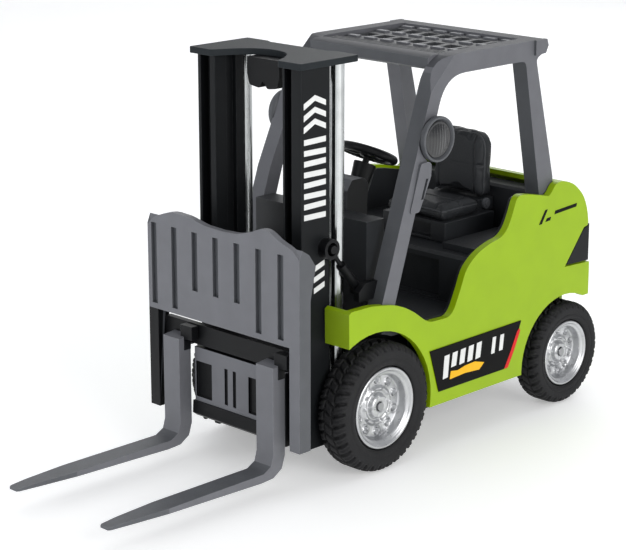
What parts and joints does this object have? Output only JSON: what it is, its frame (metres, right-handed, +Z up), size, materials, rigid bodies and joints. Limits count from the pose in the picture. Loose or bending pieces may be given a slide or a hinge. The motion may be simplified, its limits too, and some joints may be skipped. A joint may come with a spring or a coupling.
{
  "type": "toy forklift truck",
  "caption": "Toy counterbalance forklift: green body, grey overhead guard, tilting mast with a lifting fork carriage, rolling wheels and a turning steering wheel.",
  "frame": {"origin": "on the ground, on the centre plane, midway between the fork tips and the back of the rear tyres", "axes": "+Z up, -Y forwards towards the fork tips, +X towards the left side of the truck"},
  "size_m": [0.0844, 0.2604, 0.16],
  "materials": {
    "green_body": "moulded yellow-green plastic",
    "grey_plastic": "moulded mid-grey plastic",
    "dark_plastic": "moulded dark grey plastic",
    "black_plastic": "moulded black plastic",
    "seat_plastic": "soft-look dark grey seat",
    "tyre_rubber": "black tyre",
    "chrome_trim": "plated bright finish",
    "steel": "plain steel",
    "clear_lens": "clear lens",
    "red_lens": "red translucent lens",
    "panel_print": "black panel with a plain stripe pattern",
    "gear_plastic": "natural plastic gears",
    "circuit_board": "green circuit board"
  },
  "bodies": {
    "chassis": {"chassis_pan": "black_plastic", "body_shell": "green_body", "cab_tub": "dark_plastic", "instrument_panel": "dark_plastic", "steering_column": "black_plastic", "seat_base": "dark_plastic", "seat_cushion": "seat_plastic", "seat_back": "seat_plastic", "guard_frame": "grey_plastic", "roof_grille": "grey_plastic", "lamp_housing_left": "grey_plastic", "lamp_housing_right": "grey_plastic", "lamp_lens_left": "clear_lens", "lamp_lens_right": "clear_lens", "tail_bezel_left": "black_plastic", "tail_bezel_right": "black_plastic", "tail_lens_left": "red_lens", "tail_lens_right": "red_lens", "side_panel_left": "panel_print", "side_panel_right": "panel_print", "battery_cover": "black_plastic", "battery_screw": "steel", "button_cell_1": "steel", "button_cell_2": "steel", "button_cell_3": "steel", "circuit_board": "circuit_board", "speaker": "black_plastic", "gearbox_housing": "black_plastic"},
    "front_wheels": {"front_axle": "steel", "tyre_front_left": "tyre_rubber", "tyre_front_right": "tyre_rubber", "rim_front_left": "chrome_trim", "rim_front_right": "chrome_trim"},
    "rear_wheels": {"rear_axle": "steel", "axle_gear": "gear_plastic", "tyre_rear_left": "tyre_rubber", "tyre_rear_right": "tyre_rubber", "rim_rear_left": "chrome_trim", "rim_rear_right": "chrome_trim"},
    "idler": {"idler_gear": "gear_plastic"},
    "flywheel_unit": {"flywheel": "steel"},
    "steering": {"steering_wheel": "black_plastic"},
    "button": {"sound_button": "red_lens"},
    "mast": {"mast_rail_left": "dark_plastic", "mast_rail_right": "dark_plastic", "mast_crosshead": "grey_plastic", "mast_foot": "dark_plastic", "mast_pivot_pin": "steel", "pulley_block": "black_plastic", "lift_cylinder_left": "chrome_trim", "lift_cylinder_right": "chrome_trim"},
    "carriage": {"load_backrest": "grey_plastic", "fork_carriage": "dark_plastic", "fork_left": "grey_plastic", "fork_right": "grey_plastic"},
    "tilt_barrel_l": {"tilt_barrel_left": "grey_plastic"},
    "tilt_barrel_r": {"tilt_barrel_right": "grey_plastic"},
    "tilt_rod_l": {"tilt_rod_left": "steel"},
    "tilt_rod_r": {"tilt_rod_right": "steel"}
  },
  "joints": [
    {"name": "mast_tilt", "type": "hinge", "parent": "chassis", "child": "mast", "pos_m": [0, -0.0122, 0.024], "axis": [1, 0, 0], "range_deg": [-3, 3.5]},
    {"name": "lift", "type": "slide", "parent": "mast", "child": "carriage", "axis": [0, 0, 1], "range_m": [-0.006, 0.082]},
    {"name": "tilt_cylinder_swing_left", "type": "hinge", "parent": "chassis", "child": "tilt_barrel_l", "pos_m": [0.03, -0.0077, 0.071], "axis": [1, 0, 0], "range_deg": [-7.2, 8.4]},
    {"name": "tilt_cylinder_swing_right", "type": "hinge", "parent": "chassis", "child": "tilt_barrel_r", "pos_m": [-0.03, -0.0077, 0.071], "axis": [1, 0, 0], "range_deg": [-7.2, 8.4]},
    {"name": "tilt_rod_slide_left", "type": "slide", "parent": "tilt_barrel_l", "child": "tilt_rod_l", "axis": [0, -0.6402, 0.7682], "range_m": [-0.0018, 0.0021]},
    {"name": "tilt_rod_slide_right", "type": "slide", "parent": "tilt_barrel_r", "child": "tilt_rod_r", "axis": [0, -0.6402, 0.7682], "range_m": [-0.0018, 0.0021]},
    {"name": "front_roll", "type": "hinge", "parent": "chassis", "child": "front_wheels", "pos_m": [0, -0.0042, 0.0254], "axis": [1, 0, 0], "continuous": true},
    {"name": "rear_roll", "type": "hinge", "parent": "chassis", "child": "rear_wheels", "pos_m": [0, 0.1085, 0.0217], "axis": [1, 0, 0], "continuous": true},
    {"name": "idler_spin", "type": "hinge", "parent": "chassis", "child": "idler", "pos_m": [0, 0.1017, 0.03041], "axis": [1, 0, 0], "continuous": true},
    {"name": "flywheel_spin", "type": "hinge", "parent": "chassis", "child": "flywheel_unit", "pos_m": [0, 0.09379, 0.04053], "axis": [1, 0, 0], "continuous": true},
    {"name": "steering_turn", "type": "hinge", "parent": "chassis", "child": "steering", "pos_m": [0, 0.0298, 0.1132], "axis": [0, 0.4226, 0.9063], "continuous": true},
    {"name": "sound_button_press", "type": "slide", "parent": "chassis", "child": "button", "axis": [0, -1, 0], "range_m": [0, 0.0012], "stiffness_N_per_m": 200}
  ],
  "couplings": [
    {"joint": "tilt_cylinder_swing_left", "follows": "mast_tilt", "ratio": 2.3},
    {"joint": "tilt_cylinder_swing_right", "follows": "mast_tilt", "ratio": 2.3},
    {"joint": "tilt_rod_slide_left", "follows": "mast_tilt", "m_per_rad": 0.0335},
    {"joint": "tilt_rod_slide_right", "follows": "mast_tilt", "m_per_rad": 0.0335},
    {"joint": "idler_spin", "follows": "rear_roll", "ratio": -1.4},
    {"joint": "flywheel_spin", "follows": "rear_roll", "ratio": 2.52}
  ]
}
